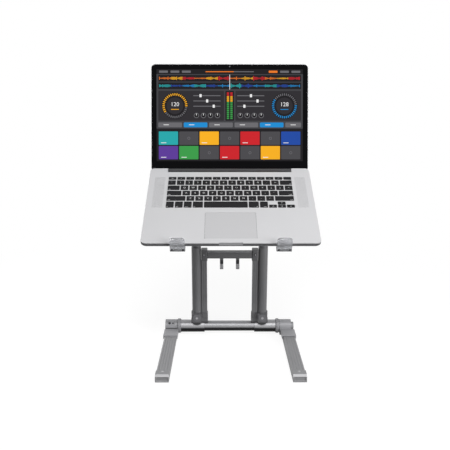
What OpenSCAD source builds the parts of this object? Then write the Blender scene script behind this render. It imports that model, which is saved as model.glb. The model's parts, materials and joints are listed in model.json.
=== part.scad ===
// Laptop workstation: a folding two-post stand that holds an open laptop at a slant.
// X is to the right, Y to the rear and Z up. The table is at Z = 0.

/* [Base] */
// Diameter of the base crossbar
crossbar_d = 24; // [22:0.5:25]
// Wall of the base crossbar and of the head tube
tube_wall = 2; // [1.5:0.1:2.5]
// Height of the crossbar's axis above the table
axis_height = 17.5; // [17.5:0.1:20]
// Diameter of the sleeves on the crossbar
sleeve_d = 28.8; // [27.5:0.1:29.5]
// Diameter of the lock rings beside the feet
ring_d = 34.4; // [32:0.1:34.4]
// Width of the lock rings
ring_w = 9; // [7:0.5:10]
// Diameter of the foot axles
axle_d = 16; // [13:0.5:17]
// Width of an axle's end cap
axle_cap_w = 6; // [4:0.5:7]

/* [Feet] */
// Distance between the middles of the feet
foot_spacing = 272.5; // [272:0.5:290]
// Width of a foot bar
foot_w = 27.5; // [25:0.5:28]
// Thickness of a foot bar
foot_t = 12; // [10:0.5:12.5]
// Reach of the feet in front of the crossbar's axis
foot_reach = 259; // [230:1:290]
// Diameter of a foot hub
hub_d = 30.5; // [28:0.5:31]
// Width of a foot hub
hub_w = 27.5; // [25:0.5:28]
// How much further out the left hub sits than the right one
hub_shift = 6; // [4:0.5:7]
// Wall of the socket that holds a foot bar
socket_wall = 2.5; // [2:0.1:3]
// Length of the toe cap
toe_len = 22; // [18:1:30]
// Thickness of the foot pads
foot_pad_t = 1.5; // [1:0.1:2]

/* [Posts] */
// Distance between the middles of the round posts
post_spacing = 153.6; // [146:0.2:153.6]
// Forward lean of the posts from upright, in degrees
post_lean = 4; // [0:0.5:6]
// Distance from the crossbar's axis to the head tube's axis
post_len = 313.2; // [305:0.2:330]
// Diameter of the outer posts
post_d = 22; // [20:0.5:23]
// Wall of the outer posts
post_wall = 2.2; // [1.8:0.1:2.5]
// Distance from the crossbar's axis to the outer posts' top
outer_top = 197; // [190:1:205]
// Length of the inner posts
inner_len = 175; // [165:1:185]
// Wall of the inner posts
inner_wall = 1.8; // [1.4:0.1:2.2]
// Width of a side rail
rail_w = 13; // [10:0.5:13]
// Depth of a side rail
rail_depth = 10; // [9:0.5:12]
// Height of the brace bar
brace_h = 18; // [16:0.5:20]
// Depth of the brace bar
brace_depth = 12; // [10:0.5:14]
// Distance between the cable hooks
hook_spacing = 37; // [30:1:60]
// Width of a cable hook
hook_w = 8; // [6:0.5:12]
// Inner width of a cable hook
hook_gap = 9; // [8:0.5:10]

/* [Head and arms] */
// Diameter of the head tube
head_d = 20; // [18:0.5:21]
// Slant of the laptop's keyboard from level, in degrees
deck_tilt = 29.5; // [20:0.5:35]
// Distance between the middles of the arms
arm_spacing = 212; // [210:1:212]
// Width of an arm
arm_w = 26; // [23:0.5:26]
// Thickness of an arm
arm_t = 8; // [7.5:0.1:9]
// Length of the arms behind the head tube
arm_rear = 42; // [30:1:50]
// Thickness of the arms' pads
arm_pad_t = 2; // [1.5:0.1:3]

/* [Clips] */
// Width of a front clip
clip_w = 30; // [28:0.5:30]
// Thickness of a clip's front wall
clip_t = 4; // [3.5:0.1:4.5]
// Height of a clip above the keyboard deck
clip_rise = 15.5; // [12:0.5:22]

/* [Laptop] */
// Width of the laptop
laptop_w = 358.9; // [350:0.1:370]
// Depth of the laptop's base
laptop_d = 247.1; // [245:0.1:255]
// Thickness of the laptop's base
base_t = 12.6; // [12.2:0.1:14]
// Distance from the head tube's axis forward to the laptop's front edge
laptop_front = 184.5; // [175:0.5:190]
// Corner radius of the laptop
corner_r = 10; // [7:0.5:13]
// Thickness of the laptop's lid
lid_t = 5.4; // [5:0.1:6]
// Opening angle of the lid, in degrees
lid_open = 130.7; // [95:0.1:135]
// Width of the trackpad
trackpad_w = 105; // [95:1:120]
// Depth of the trackpad
trackpad_d = 78; // [66:1:80]
// Distance from the front edge to the trackpad
trackpad_front = 14.3; // [11:0.1:16]
// Width of the display
display_w = 334; // [320:1:336]
// Height of the display
display_h = 209; // [200:1:211]

/* [Keyboard] */
// Distance from key to key along a row
key_pitch = 19; // [18.4:0.1:19.2]
// Distance from row to row
row_pitch = 18.4; // [18:0.1:18.6]
// Space between two keys
key_gap = 2.8; // [2.4:0.1:3.2]
// Depth of the keys in the front row
front_key = 19.8; // [17:0.1:20]
// Depth of the short keys in the function row
short_key = 9.9; // [8:0.1:10]
// Corner radius of a key
key_r = 1.2; // [0.8:0.1:2]
// Distance from the front edge to the keyboard
keyboard_front = 108.9; // [108:0.1:110]
// Travel of a key
key_travel = 1.2; // [0.8:0.1:1.3]

/* [Clearances] */
// Radial gap of a turning or sliding fit
running_gap = 0.05; // [0.03:0.01:0.08]
// Gap between neighbours that move past each other
side_gap = 0.3; // [0.3:0.05:0.5]
// Gap round a key and round the trackpad
key_clearance = 0.35; // [0.3:0.05:0.45]

/* [Hidden] */
$fn = 48;

// Base: places along X from the middle, and heights from the crossbar's axis
foot_x = foot_spacing / 2;
hub_offset = 4.5;
hub_in = foot_x - foot_w / 2 - hub_offset;
hub_out = hub_in + hub_w;
ring_out = hub_in - side_gap;
sleeve_out = ring_out - ring_w;
axle_plug = 25;
foot_bottom = foot_pad_t - axis_height;
foot_top = foot_bottom + foot_t;
neck_rear = 9;
hub_end_wall = 3.5;
hub_face_lean = 45;
ring_room = 1.5;
socket_len = 38;
socket_stop = 2;
socket_start = ring_d / 2 + ring_room;
socket_end = socket_start + socket_len;
bar_rear = socket_start + socket_stop;
toe_wall = 8;
bar_front = foot_reach - toe_wall;
toe_lip = 3.2;
pad_edge = 1.5;
heel_front = 14;

// Posts: distances from the crossbar's axis along a post
post_x = post_spacing / 2;
post_r = post_d / 2;
bush_wall = 0.8;
inner_r = post_r - post_wall - bush_wall;
post_start = 23;
rail_gap = 0.5;
rail_x = -(post_r + rail_gap + rail_w / 2);
rail_drop = 6;
rail_top = outer_top - rail_drop;
knuckle_wall = 2.2;
knuckle_r = post_r + knuckle_wall;
pocket_wall = 1.2;
knuckle_in = rail_x - rail_w / 2 - pocket_wall;
knuckle_start = 15;
knuckle_top = 37.5;
lobe_r = post_r;
lobe_level = 20;
lobe_out = 2.5;
lobe_front = knuckle_r + lobe_out;
saddle_half = 9;
washer_r = post_r - 1.7;
washer_level = 27;
bolt_r = 2.5;
sleeve_in = post_x + knuckle_in + 8;
bush_h = 6;
bush_depth = 18;
knob_drop = 10;
knob_level = outer_top - knob_drop;
knob_r = 8;
knob_neck = 3;
knob_len = 12;
bracket_roof = 2;
bracket_top = rail_top + bracket_roof;
bracket_h = 27.5;
bracket_depth = rail_depth + 5;
bracket_in = post_x + knuckle_in;
bracket_out = -post_r - rail_gap;
brace_level = bracket_top - bracket_h / 2;
screw_rise = 1.5;
screw_level = brace_level + screw_rise;
screw_r = 1.5;
hook_t = 3;
hook_drop = 19.5;
hook_tip = 7;

// Head and arms: the head tube's axis is the zero of the slanted frame
head_r = head_d / 2;
tee_r = head_r + 4.5;
tee_w = 29;
tee_neck = 30;
tee_socket = 14;
arm_x = arm_spacing / 2;
arm_hub_r = head_r + 3.5;
arm_rise = head_r + 2;
arm_top = arm_rise + arm_t;
arm_wall = 1.5;
arm_setback = 12;
arm_front = laptop_front - arm_setback;
arm_cap_t = 2;
cap_plug = 10;
pad_inset = 4;
foot_sink = 0.2;
seat = arm_top + arm_pad_t + foot_sink;
clip_gap = 1;
clip_back = -(laptop_front + clip_gap);
clip_face = clip_back - clip_t;
clip_low = arm_rise + arm_wall + side_gap;
clip_high = seat + base_t + clip_rise;
tongue_t = arm_t - 2 * arm_wall - 2 * side_gap;
tongue_w = arm_w - 2 * arm_wall - 2 * side_gap - 2;
tongue_in = 62;
bend_r = tongue_t;

// Laptop: the zero is the middle of the lower front edge
plate_t = 5.7;
plate_floor = 1.2;
skin_t = 2;
case_wall = 4;
notch_w = 280;
notch_depth = 14;
notch_front = laptop_d - notch_depth;
hinge_y = laptop_d - 2.1;
hinge_z = base_t - 4.4;
barrel_r = 4.6;
barrel_w = notch_w - 1;
pin_r = 2;
pin_bury = 10;
pin_reach = 22;
lid_face = 5.3;
lid_len = hinge_y - 2;
lid_back = 2;
lid_rim = 1;
glass_t = 0.9;
panel_t = 3.2;
display_rise = 12;
key_t = 2.2;
key_proud = 0.3;
key_low = base_t + key_proud - key_t;
tray_t = 1;
tray_floor = key_low - key_travel - 0.4;

// Sockets in the laptop's sides: distance from the front edge, width and height
left_ports = [[214, 17, 3.4], [190, 7.4, 4.6], [176, 7.4, 4.6], [157, 13, 5]];
right_ports = [[214, 13, 5], [191, 14.5, 4.6], [160, 25, 2.6]];
jack_y = 140;
jack_r = 1.8;
port_depth = 3;
port_level = (plate_t + base_t) / 2;

// Row units, front row first: each key's width in pitches
row_units = [
    [1, 1, 1, 1.25, 5, 1.25, 1, 1, 1, 1],
    [2.25, 1, 1, 1, 1, 1, 1, 1, 1, 1, 1, 2.25],
    [1.75, 1, 1, 1, 1, 1, 1, 1, 1, 1, 1, 1, 1.75],
    [1.5, 1, 1, 1, 1, 1, 1, 1, 1, 1, 1, 1, 1, 1],
    [1, 1, 1, 1, 1, 1, 1, 1, 1, 1, 1, 1, 1, 1.5],
    [for (i = [1:14]) 1.036]
];
space_index = 4;
arrow_index = 7;
function_row = 5;

function sum_to(list, n) = n < 1 ? 0 : list[n - 1] + sum_to(list, n - 1);
function row_start(row) =
    keyboard_front + (row == 0 ? 0 : front_key + key_gap + (row - 1) * row_pitch);
function row_depth(row) =
    row == 0 ? front_key : row == function_row ? short_key : row_pitch - key_gap;
keyboard_w = sum_to(row_units[0], len(row_units[0])) * key_pitch;
keyboard_rear = row_start(function_row) + short_key;
function key_x(row, i) =
    (sum_to(row_units[row], i) + row_units[row][i] / 2) * key_pitch - keyboard_w / 2;
function key_y(row) = row_start(row) + row_depth(row) / 2;
function key_w(row, i) = row_units[row][i] * key_pitch - key_gap;
function plain_count(row) = row == 0 ? arrow_index : len(row_units[row]);
function row_keys(row) = [for (i = [0:plain_count(row) - 1]) if (row > 0 || i != space_index)
    [key_x(row, i), key_y(row), key_w(row, i), row_depth(row)]];
space_key = [key_x(0, space_index), key_y(0), key_w(0, space_index), row_depth(0)];
arrow_gap = 1;
arrow_d = (row_depth(0) - arrow_gap) / 2;
arrow_keys = [for (place = [[0, 0], [1, 0], [1, 1], [2, 0]])
    [key_x(0, arrow_index + place[0]), keyboard_front + arrow_d / 2 + place[1] * (arrow_d + arrow_gap),
        key_w(0, arrow_index + place[0]), arrow_d]];
all_keys = concat([for (row = [0:function_row]) each row_keys(row)], arrow_keys, [space_key]);

// The part's zero lies under the middle of its box, so the crossbar moves with the reach
head_y = -post_len * sin(post_lean);
lid_tip_y = -lid_len * cos(lid_open) + (lid_face + lid_t) * sin(lid_open);
lid_tip_z = lid_len * sin(lid_open) + (lid_face + lid_t) * cos(lid_open);
lid_tip = (hinge_y - laptop_front + lid_tip_y) * cos(deck_tilt)
    - (seat + hinge_z + lid_tip_z) * sin(deck_tilt);
bar_y = (foot_reach - head_y - lid_tip) / 2;

// Frames of the parts that share an axis
module at_crossbar() { translate([0, bar_y, axis_height]) children(); }
module at_posts() { at_crossbar() rotate([post_lean, 0, 0]) children(); }
module at_post() { at_posts() translate([post_x, 0, 0]) children(); }
module at_head()
{
    at_posts() translate([0, 0, post_len]) rotate([deck_tilt - post_lean, 0, 0]) children();
}
module at_laptop() { at_head() translate([0, -laptop_front, seat]) children(); }
module at_lid() { at_laptop() translate([0, hinge_y, hinge_z]) rotate([-lid_open, 0, 0]) children(); }

// Shapes that repeat
module left() { mirror([1, 0, 0]) children(); }
module both()
{
    children();
    left() children();
}
module x_rod(from, to, r) { translate([from, 0, 0]) rotate([0, 90, 0]) cylinder(r = r, h = to - from); }
module y_rod(from, to, r) { translate([0, from, 0]) rotate([-90, 0, 0]) cylinder(r = r, h = to - from); }
module z_rod(from, to, r) { translate([0, 0, from]) cylinder(r = r, h = to - from); }
module tube(from, to, outer, inner)
{
    difference()
    {
        x_rod(from, to, outer);
        x_rod(from - 1, to + 1, inner);
    }
}
module box(low, high) { translate(low) cube(high - low); }
module round_rect(w, d, r)
{
    square([w - 2 * r, d], center = true);
    square([w, d - 2 * r], center = true);
    for (x = [r - w / 2, w / 2 - r], y = [r - d / 2, d / 2 - r])
        translate([x, y]) circle(r = r);
}
module along_x(from, to)
{
    translate([from, 0, 0]) rotate([90, 0, 90]) linear_extrude(to - from) children();
}
module along_y(from, to)
{
    translate([0, to, 0]) rotate([90, 0, 0]) linear_extrude(to - from) children();
}
module plate(w, from, to, r, z, t)
{
    translate([0, (from + to) / 2, z]) linear_extrude(t) round_rect(w, to - from, r);
}

// Base
module base_crossbar()
{
    color("silver") at_crossbar() difference()
    {
        x_rod(-sleeve_out - hub_shift, sleeve_out, crossbar_d / 2);
        x_rod(-sleeve_out - hub_shift - 1, sleeve_out + 1, crossbar_d / 2 - tube_wall);
    }
}
module crossbar_sleeves()
{
    color("gainsboro") at_crossbar()
    {
        tube(sleeve_in, sleeve_out, sleeve_d / 2, crossbar_d / 2);
        left() tube(sleeve_in, sleeve_out + hub_shift, sleeve_d / 2, crossbar_d / 2);
    }
}
module lock_ring()
{
    step = 1.5;
    difference()
    {
        union()
        {
            x_rod(sleeve_out, ring_out, ring_d / 2 - step);
            x_rod(sleeve_out + step, ring_out - step, ring_d / 2);
        }
        x_rod(sleeve_out - 1, ring_out + 1, axle_d / 2);
    }
}
module foot_lock_rings()
{
    color("dimgray") at_crossbar()
    {
        lock_ring();
        left() translate([hub_shift, 0, 0]) lock_ring();
    }
}
module axle(end)
{
    x_rod(sleeve_out - axle_plug, sleeve_out, crossbar_d / 2 - tube_wall);
    x_rod(sleeve_out, end, axle_d / 2);
}
module foot_axles()
{
    cap_lip = 1;
    color("slategray") at_crossbar()
    {
        axle(hub_out + side_gap);
        x_rod(hub_out + side_gap, hub_out + side_gap + axle_cap_w, axle_d / 2 + cap_lip);
        left() translate([hub_shift, 0, 0]) axle(hub_out - hub_end_wall - side_gap);
    }
}

// Feet
module hub_body()
{
    x_rod(hub_in, hub_out, hub_d / 2);
    box([hub_in, -socket_start - socket_stop / 2, foot_bottom],
        [hub_out, neck_rear, foot_top + socket_wall]);
}
module foot_socket()
{
    wide = foot_w / 2 + socket_wall;
    translate([foot_x, 0, 0])
        box([-wide, -socket_end, foot_bottom + foot_t / 2], [wide, -socket_start, foot_top + socket_wall]);
    translate([foot_x, 0, 0])
        box([-foot_w / 2, -bar_rear, foot_bottom], [foot_w / 2, -socket_start, foot_top]);
}
module bar_room()
{
    translate([foot_x, 0, 0])
        box([-foot_w / 2, -socket_end - 1, foot_bottom - 1], [foot_w / 2, -bar_rear, foot_top]);
}
module axle_hole(end) { x_rod(hub_in - 1, end, axle_d / 2 + running_gap); }
module foot_hub_right()
{
    color("gray") at_crossbar() difference()
    {
        union()
        {
            hub_body();
            foot_socket();
        }
        axle_hole(hub_out + 1);
        bar_room();
    }
}
module foot_hub_left()
{
    panel_w = 18;
    panel_h = 10.2;
    panel_depth = 1.5;
    color("gray") at_crossbar() left() difference()
    {
        union()
        {
            translate([hub_shift, 0, 0]) hub_body();
            foot_socket();
        }
        translate([hub_shift, 0, 0]) axle_hole(hub_out - hub_end_wall);
        bar_room();
        translate([hub_shift + hub_in + hub_w / 2, 0, 0]) rotate([-hub_face_lean, 0, 0])
            along_y(-hub_d, panel_depth - hub_d / 2) round_rect(panel_w, panel_h, 3);
    }
}
module foot_profile()
{
    groove_w = 1.6;
    groove_depth = 0.7;
    edge_r = 2.5;
    difference()
    {
        union()
        {
            translate([-foot_w / 2, foot_bottom]) square([foot_w, foot_t - edge_r]);
            translate([edge_r - foot_w / 2, foot_bottom]) square([foot_w - 2 * edge_r, foot_t]);
            for (x = [edge_r - foot_w / 2, foot_w / 2 - edge_r])
                translate([x, foot_top - edge_r]) circle(r = edge_r);
        }
        for (x = [-1.5:1:1.5])
            translate([x * foot_w / 5 - groove_w / 2, foot_top - groove_depth]) square([groove_w, 2]);
    }
}
module foot_bar()
{
    color("darkgray") at_crossbar() translate([foot_x, 0, 0])
        along_y(-bar_front, -bar_rear) foot_profile();
}
module foot_toe()
{
    top = foot_top + toe_lip;
    back = toe_len - foot_reach;
    half = foot_w / 2;
    slant = 1;
    brow = 5;
    brow_h = 4;
    frame = 2.5;
    button_r = 2.6;
    button_h = 0.6;
    color("dimgray") at_crossbar() translate([foot_x, 0, 0]) difference()
    {
        union()
        {
            along_x(-half, half)
                polygon([[-foot_reach, foot_bottom], [back, foot_bottom], [back, top],
                    [brow - foot_reach, top], [slant - foot_reach, top - brow_h]]);
            translate([0, back - 2 * button_r, top])
                cylinder(r1 = button_r, r2 = button_r - 0.5, h = button_h);
        }
        box([-foot_w, -bar_front, foot_bottom - 1], [foot_w, back + 1, foot_top]);
        box([frame - half, -foot_reach - 1, foot_bottom + frame],
            [half - frame, slant + 0.5 - foot_reach, top - brow_h - frame / 2]);
    }
}
module foot_pads(shift)
{
    color("black") at_crossbar()
    {
        box([foot_x - foot_w / 2 + 2 * pad_edge, 2 * pad_edge - foot_reach, -axis_height],
            [foot_x + foot_w / 2 - 2 * pad_edge, toe_len - 4 - foot_reach, foot_bottom]);
        box([hub_in + shift + pad_edge, -heel_front, -axis_height],
            [hub_out + shift - pad_edge, neck_rear - 2, foot_bottom]);
    }
}

// Posts
module post_knuckle()
{
    color("dimgray") at_post() difference()
    {
        union()
        {
            z_rod(knuckle_start, knuckle_top, knuckle_r);
            translate([rail_x, 0, knuckle_start])
                linear_extrude(knuckle_top - 2 - knuckle_start)
                    round_rect(rail_w + 2 * pocket_wall, rail_depth + 5, 3);
            box([knuckle_in, -saddle_half, saddle_half], [knuckle_r, saddle_half, post_start]);
            translate([0, 0, lobe_level]) y_rod(-lobe_front, 0, lobe_r);
            box([-lobe_r, -lobe_front, lobe_level], [lobe_r, 0, knuckle_top - 1]);
        }
        x_rod(knuckle_in - 1, knuckle_r + 1, sleeve_d / 2);
        z_rod(post_start, knuckle_top + 1, post_r);
        translate([rail_x, 0, post_start]) linear_extrude(knuckle_top) rail_profile();
        translate([0, 0, washer_level]) y_rod(-lobe_front - 1, 0, bolt_r);
    }
}
module outer_post()
{
    color("gray") at_post() difference()
    {
        z_rod(post_start, outer_top, post_r);
        z_rod(post_start - 1, outer_top + 1, post_r - post_wall);
        translate([0, 0, knob_level]) y_rod(0, post_d, 3);
    }
}
module post_bushes()
{
    color("darkslategray") at_posts() both() translate([post_x, 0, 0]) difference()
    {
        union()
        {
            z_rod(outer_top - bush_depth, outer_top, post_r - post_wall);
            translate([0, 0, outer_top]) cylinder(r1 = post_r, r2 = inner_r + 1.2, h = bush_h);
        }
        z_rod(outer_top - bush_depth - 1, outer_top + bush_h + 1, inner_r + running_gap);
        translate([0, 0, knob_level]) y_rod(0, post_d, 3);
    }
}
module rail_profile()
{
    web_t = 2;
    web_out = 0.3;
    edge_r = 1.5;
    round_rect(rail_w, rail_depth, edge_r);
    translate([0, rail_depth / 2 - edge_r - web_t]) square([rail_w / 2 + web_out, web_t]);
}
module side_rail()
{
    groove_w = 1.2;
    groove_depth = 0.7;
    color("slategray") at_post() translate([rail_x, 0, post_start])
        linear_extrude(rail_top - post_start) difference()
        {
            rail_profile();
            for (x = [-1, 1])
                translate([x * rail_w / 6 - groove_w / 2, -rail_depth / 2 - 1])
                    square([groove_w, 1 + groove_depth]);
        }
}
module brace_brackets()
{
    color("dimgray") at_posts() both() translate([post_x, 0, bracket_top - bracket_h]) difference()
    {
        translate([(knuckle_in + bracket_out) / 2, 0, 0]) linear_extrude(bracket_h)
            round_rect(bracket_out - knuckle_in, bracket_depth, 3);
        translate([rail_x, 0, -1]) linear_extrude(rail_top - bracket_top + bracket_h + 1) rail_profile();
        translate([rail_x, 0, screw_level - bracket_top + bracket_h])
            y_rod(-bracket_depth, -rail_depth / 2, screw_r);
    }
}
module brace_bar()
{
    rib = 1.5;
    color("slategray") at_posts() along_x(-bracket_in, bracket_in) translate([0, brace_level])
    {
        round_rect(brace_depth, brace_h, 3);
        translate([-brace_depth / 2 - rib, brace_h / 10]) square([brace_depth / 2, brace_h / 5]);
    }
}
module cable_hook()
{
    low = brace_level - brace_h / 2;
    turn = low - hook_drop;
    outer = hook_gap / 2 + hook_t;
    color("gray") at_posts() along_x((hook_spacing - hook_w) / 2, (hook_spacing + hook_w) / 2)
    {
        translate([hook_gap / 2, turn]) square([hook_t, hook_drop]);
        translate([-outer, turn]) square([hook_t, hook_tip]);
        translate([0, turn]) difference()
        {
            circle(r = outer);
            circle(r = hook_gap / 2);
            translate([-outer, 0]) square(2 * outer);
        }
    }
}
module frame_screws()
{
    washer_t = 1.5;
    color("black") at_posts() both()
    {
        translate([post_x, 0, washer_level])
        {
            y_rod(-lobe_front, -post_r - side_gap, bolt_r);
            y_rod(-lobe_front - washer_t, -lobe_front, washer_r);
            y_rod(-lobe_front - 2 * washer_t, -lobe_front - washer_t, bolt_r + 0.3);
        }
        translate([post_x + rail_x, 0, screw_level])
        {
            y_rod(-bracket_depth / 2, -rail_depth / 2, screw_r);
            y_rod(-bracket_depth / 2 - 1.2, -bracket_depth / 2, 2 * screw_r);
        }
    }
}
module height_knob()
{
    knob_face = post_r + side_gap;
    color("black") at_post() translate([0, 0, knob_level])
    {
        y_rod(inner_r + side_gap, knob_face, 2.6);
        y_rod(knob_face, knob_face + knob_neck, 5);
        y_rod(knob_face + knob_neck, knob_face + knob_len, knob_r);
    }
}

// Head and arms
module inner_post()
{
    top = post_len - tee_neck + tee_socket;
    color("silver") at_post() difference()
    {
        z_rod(top - inner_len, top, inner_r);
        z_rod(top - inner_len - 1, top + 1, inner_r - inner_wall);
    }
}
module head_tee()
{
    color("dimgray") at_post() difference()
    {
        union()
        {
            translate([0, 0, post_len]) x_rod(-tee_w / 2, tee_w / 2, tee_r);
            z_rod(post_len - tee_neck, post_len, inner_r + 3.5);
        }
        translate([0, 0, post_len]) x_rod(-tee_w, tee_w, head_r + running_gap);
        z_rod(post_len - tee_neck - 1, post_len - tee_neck + tee_socket, inner_r);
    }
}
module head_tube()
{
    half = arm_x + arm_w / 2 - arm_cap_t;
    color("silver") at_head() difference()
    {
        x_rod(-half, half, head_r);
        x_rod(-half - 1, half + 1, head_r - tube_wall);
    }
}
module head_end_caps()
{
    end = arm_x + arm_w / 2;
    color("black") at_head() both()
    {
        x_rod(end - arm_cap_t, end, head_r);
        x_rod(end - arm_cap_t - cap_plug, end - arm_cap_t, head_r - tube_wall);
    }
}
module arm_hub()
{
    color("dimgray") at_head() difference()
    {
        union()
        {
            x_rod(arm_x - arm_w / 2, arm_x + arm_w / 2, arm_hub_r);
            box([arm_x - arm_w / 2, -arm_hub_r, 0], [arm_x + arm_w / 2, arm_hub_r, arm_rise]);
        }
        x_rod(arm_x - arm_w, arm_x + arm_w, head_r);
        box([arm_x - arm_w, -arm_hub_r - 1, arm_rise], [arm_x + arm_w, arm_hub_r + 1, arm_top]);
    }
}
module arm()
{
    color("gray") at_head() translate([arm_x, 0, arm_rise + arm_t / 2]) difference()
    {
        along_y(-arm_front, arm_rear) round_rect(arm_w, arm_t, 1.5);
        along_y(-arm_front - 1, arm_rear + 1)
            square([arm_w - 2 * arm_wall - 2, arm_t - 2 * arm_wall], center = true);
    }
}
module arm_pads()
{
    color("black") at_head() both() translate([arm_x, 0, 0])
        plate(arm_w - 2 * pad_inset, 2 * pad_inset - arm_front, arm_rear - pad_inset, 3, arm_top,
            arm_pad_t);
}
module arm_rear_caps()
{
    color("black") at_head() both() translate([arm_x, 0, arm_rise + arm_t / 2])
    {
        along_y(arm_rear, arm_rear + arm_cap_t) round_rect(arm_w, arm_t, 1.5);
        along_y(arm_rear - cap_plug, arm_rear)
            square([arm_w - 2 * arm_wall - 2, arm_t - 2 * arm_wall], center = true);
    }
}

// Clips
module clip()
{
    top_r = 7;
    bead_r = 1.8;
    color("lightslategray") at_head() translate([arm_x, 0, 0]) difference()
    {
        union()
        {
            along_y(clip_face, clip_back)
            {
                translate([-clip_w / 2, clip_low + bend_r])
                    square([clip_w, clip_high - clip_low - bend_r - top_r]);
                translate([top_r - clip_w / 2, clip_low + bend_r])
                    square([clip_w - 2 * top_r, clip_high - clip_low - bend_r]);
                for (x = [top_r - clip_w / 2, clip_w / 2 - top_r])
                    translate([x, clip_high - top_r]) circle(r = top_r);
            }
            translate([0, clip_face, clip_high - bead_r])
                x_rod(top_r - clip_w / 2, clip_w / 2 - top_r, bead_r);
            translate([0, clip_face + bend_r, clip_low + bend_r])
                x_rod(-clip_w / 2, clip_w / 2, bend_r);
            box([-clip_w / 2, clip_face + bend_r, clip_low],
                [clip_w / 2, -arm_front - side_gap, clip_low + tongue_t]);
            box([-tongue_w / 2, clip_face + bend_r, clip_low],
                [tongue_w / 2, tongue_in - laptop_front, clip_low + tongue_t]);
        }
        clip_screw_places() y_rod(-1, 3, 1.5);
    }
}
module clip_screw_places()
{
    for (x = [4 - clip_w / 2, clip_w / 2 - 4])
        translate([x, clip_face, clip_low + bend_r + 2.6]) children();
}
module clip_screws()
{
    color("black") at_head() translate([arm_x, 0, 0]) clip_screw_places()
    {
        y_rod(-0.8, 0, 2.4);
        y_rod(0, 3, 1.5);
    }
}

// Laptop base
module laptop_case()
{
    scoop_w = 48;
    scoop_d = 1.4;
    scoop_lip = 0.5;
    foot = [0, plate_t + scoop_lip];
    slope = [scoop_d, base_t] - foot;
    cavity_rear = notch_front - case_wall;
    color("lightgray") at_laptop() difference()
    {
        plate(laptop_w, 0, laptop_d, corner_r, plate_t, base_t - plate_t);
        plate(laptop_w - 2 * case_wall, case_wall + 2, cavity_rear, corner_r - case_wall, plate_t - 1,
            base_t - skin_t - plate_t + 1);
        key_holes(all_keys);
        box([-trackpad_w / 2 - key_clearance, trackpad_front - key_clearance, plate_t],
            [trackpad_w / 2 + key_clearance, trackpad_front + trackpad_d + key_clearance, base_t + 1]);
        box([-notch_w / 2, notch_front, 0], [notch_w / 2, laptop_d + 1, base_t + 1]);
        ports(right_ports);
        left() ports(left_ports);
        left() translate([0, jack_y, port_level]) x_rod(laptop_w / 2 - port_depth, laptop_w, jack_r);
        along_x(-scoop_w / 2, scoop_w / 2)
            polygon([foot - slope, foot + 2 * slope, [-scoop_d, foot[1] + 2 * slope[1]]]);
        translate([0, hinge_y, hinge_z]) x_rod(-notch_w / 2 - pin_bury, notch_w / 2 + pin_bury, pin_r);
    }
}
module ports(list)
{
    for (port = list)
        translate([0, port[0], port_level]) along_x(laptop_w / 2 - port_depth, laptop_w)
            round_rect(port[1], port[2], 1);
}
module laptop_bottom()
{
    slope = 6;
    bulge = slope / 4;
    color("silver") at_laptop() difference()
    {
        hull()
        {
            plate(laptop_w, 0, laptop_d, corner_r, plate_t - 0.2, 0.2);
            plate(laptop_w - 2 * bulge, bulge, laptop_d - bulge, corner_r, plate_t / 2, 0.2);
            plate(laptop_w - 2 * slope, slope, laptop_d - slope, corner_r, 0, 0.2);
        }
        plate(laptop_w - 4 * slope, 2 * slope, notch_front - case_wall, corner_r - case_wall, plate_floor,
            plate_t);
        box([-notch_w / 2, notch_front, -1], [notch_w / 2, laptop_d + 1, plate_t + 1]);
    }
}
module laptop_feet()
{
    foot_r = 8;
    inset = 22;
    color("black") at_laptop() for (x = [inset - laptop_w / 2, laptop_w / 2 - inset])
    {
        translate([x, inset, -1]) cylinder(r = foot_r, h = 1);
        translate([x, laptop_d - inset, -1]) cylinder(r = foot_r, h = 1);
    }
}
module keyboard_tray()
{
    rim = 3;
    top = base_t - skin_t;
    color("dimgray") at_laptop() difference()
    {
        box([-keyboard_w / 2 - rim, keyboard_front - rim - 2, tray_floor - tray_t],
            [keyboard_w / 2 + rim, keyboard_rear + rim, top]);
        box([-keyboard_w / 2, keyboard_front - 2, tray_floor],
            [keyboard_w / 2, keyboard_rear + 1, top + 1]);
    }
}
module laptop_inside()
{
    side_room = 32;
    rear_room = 12;
    cell_gap = 3;
    cell_w = (laptop_w - 2 * side_room - 2 * cell_gap) / 3;
    cell_front = 14;
    cell_h = 6;
    board_h = 2.5;
    fan_r = 27;
    fan_h = 5;
    fan_x = laptop_w / 2 - side_room - fan_r;
    board_half = fan_x - fan_r - cell_gap;
    color("darkslategray") at_laptop()
    {
        for (x = [-1:1])
            translate([x * (cell_w + cell_gap) - cell_w / 2, cell_front, plate_floor])
                cube([cell_w, keyboard_front - cell_gap - cell_front, cell_h]);
        box([-board_half, keyboard_front, plate_floor],
            [board_half, notch_front - rear_room, plate_floor + board_h]);
        for (x = [-fan_x, fan_x])
            translate([x, notch_front - rear_room - fan_r, plate_floor]) cylinder(r = fan_r, h = fan_h);
    }
}
module hinge_fittings()
{
    color("black") at_laptop()
    {
        box([-barrel_w / 2, notch_front, plate_t], [barrel_w / 2, hinge_y - barrel_r - 0.6, base_t - 0.4]);
        translate([0, hinge_y, hinge_z]) both()
            x_rod(notch_w / 2 - pin_reach, notch_w / 2 + pin_bury, pin_r);
    }
}
module trackpad()
{
    pad_t = 1.5;
    color("silver") at_laptop()
        plate(trackpad_w, trackpad_front, trackpad_front + trackpad_d, 2, base_t - 0.1 - pad_t, pad_t);
}

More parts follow.
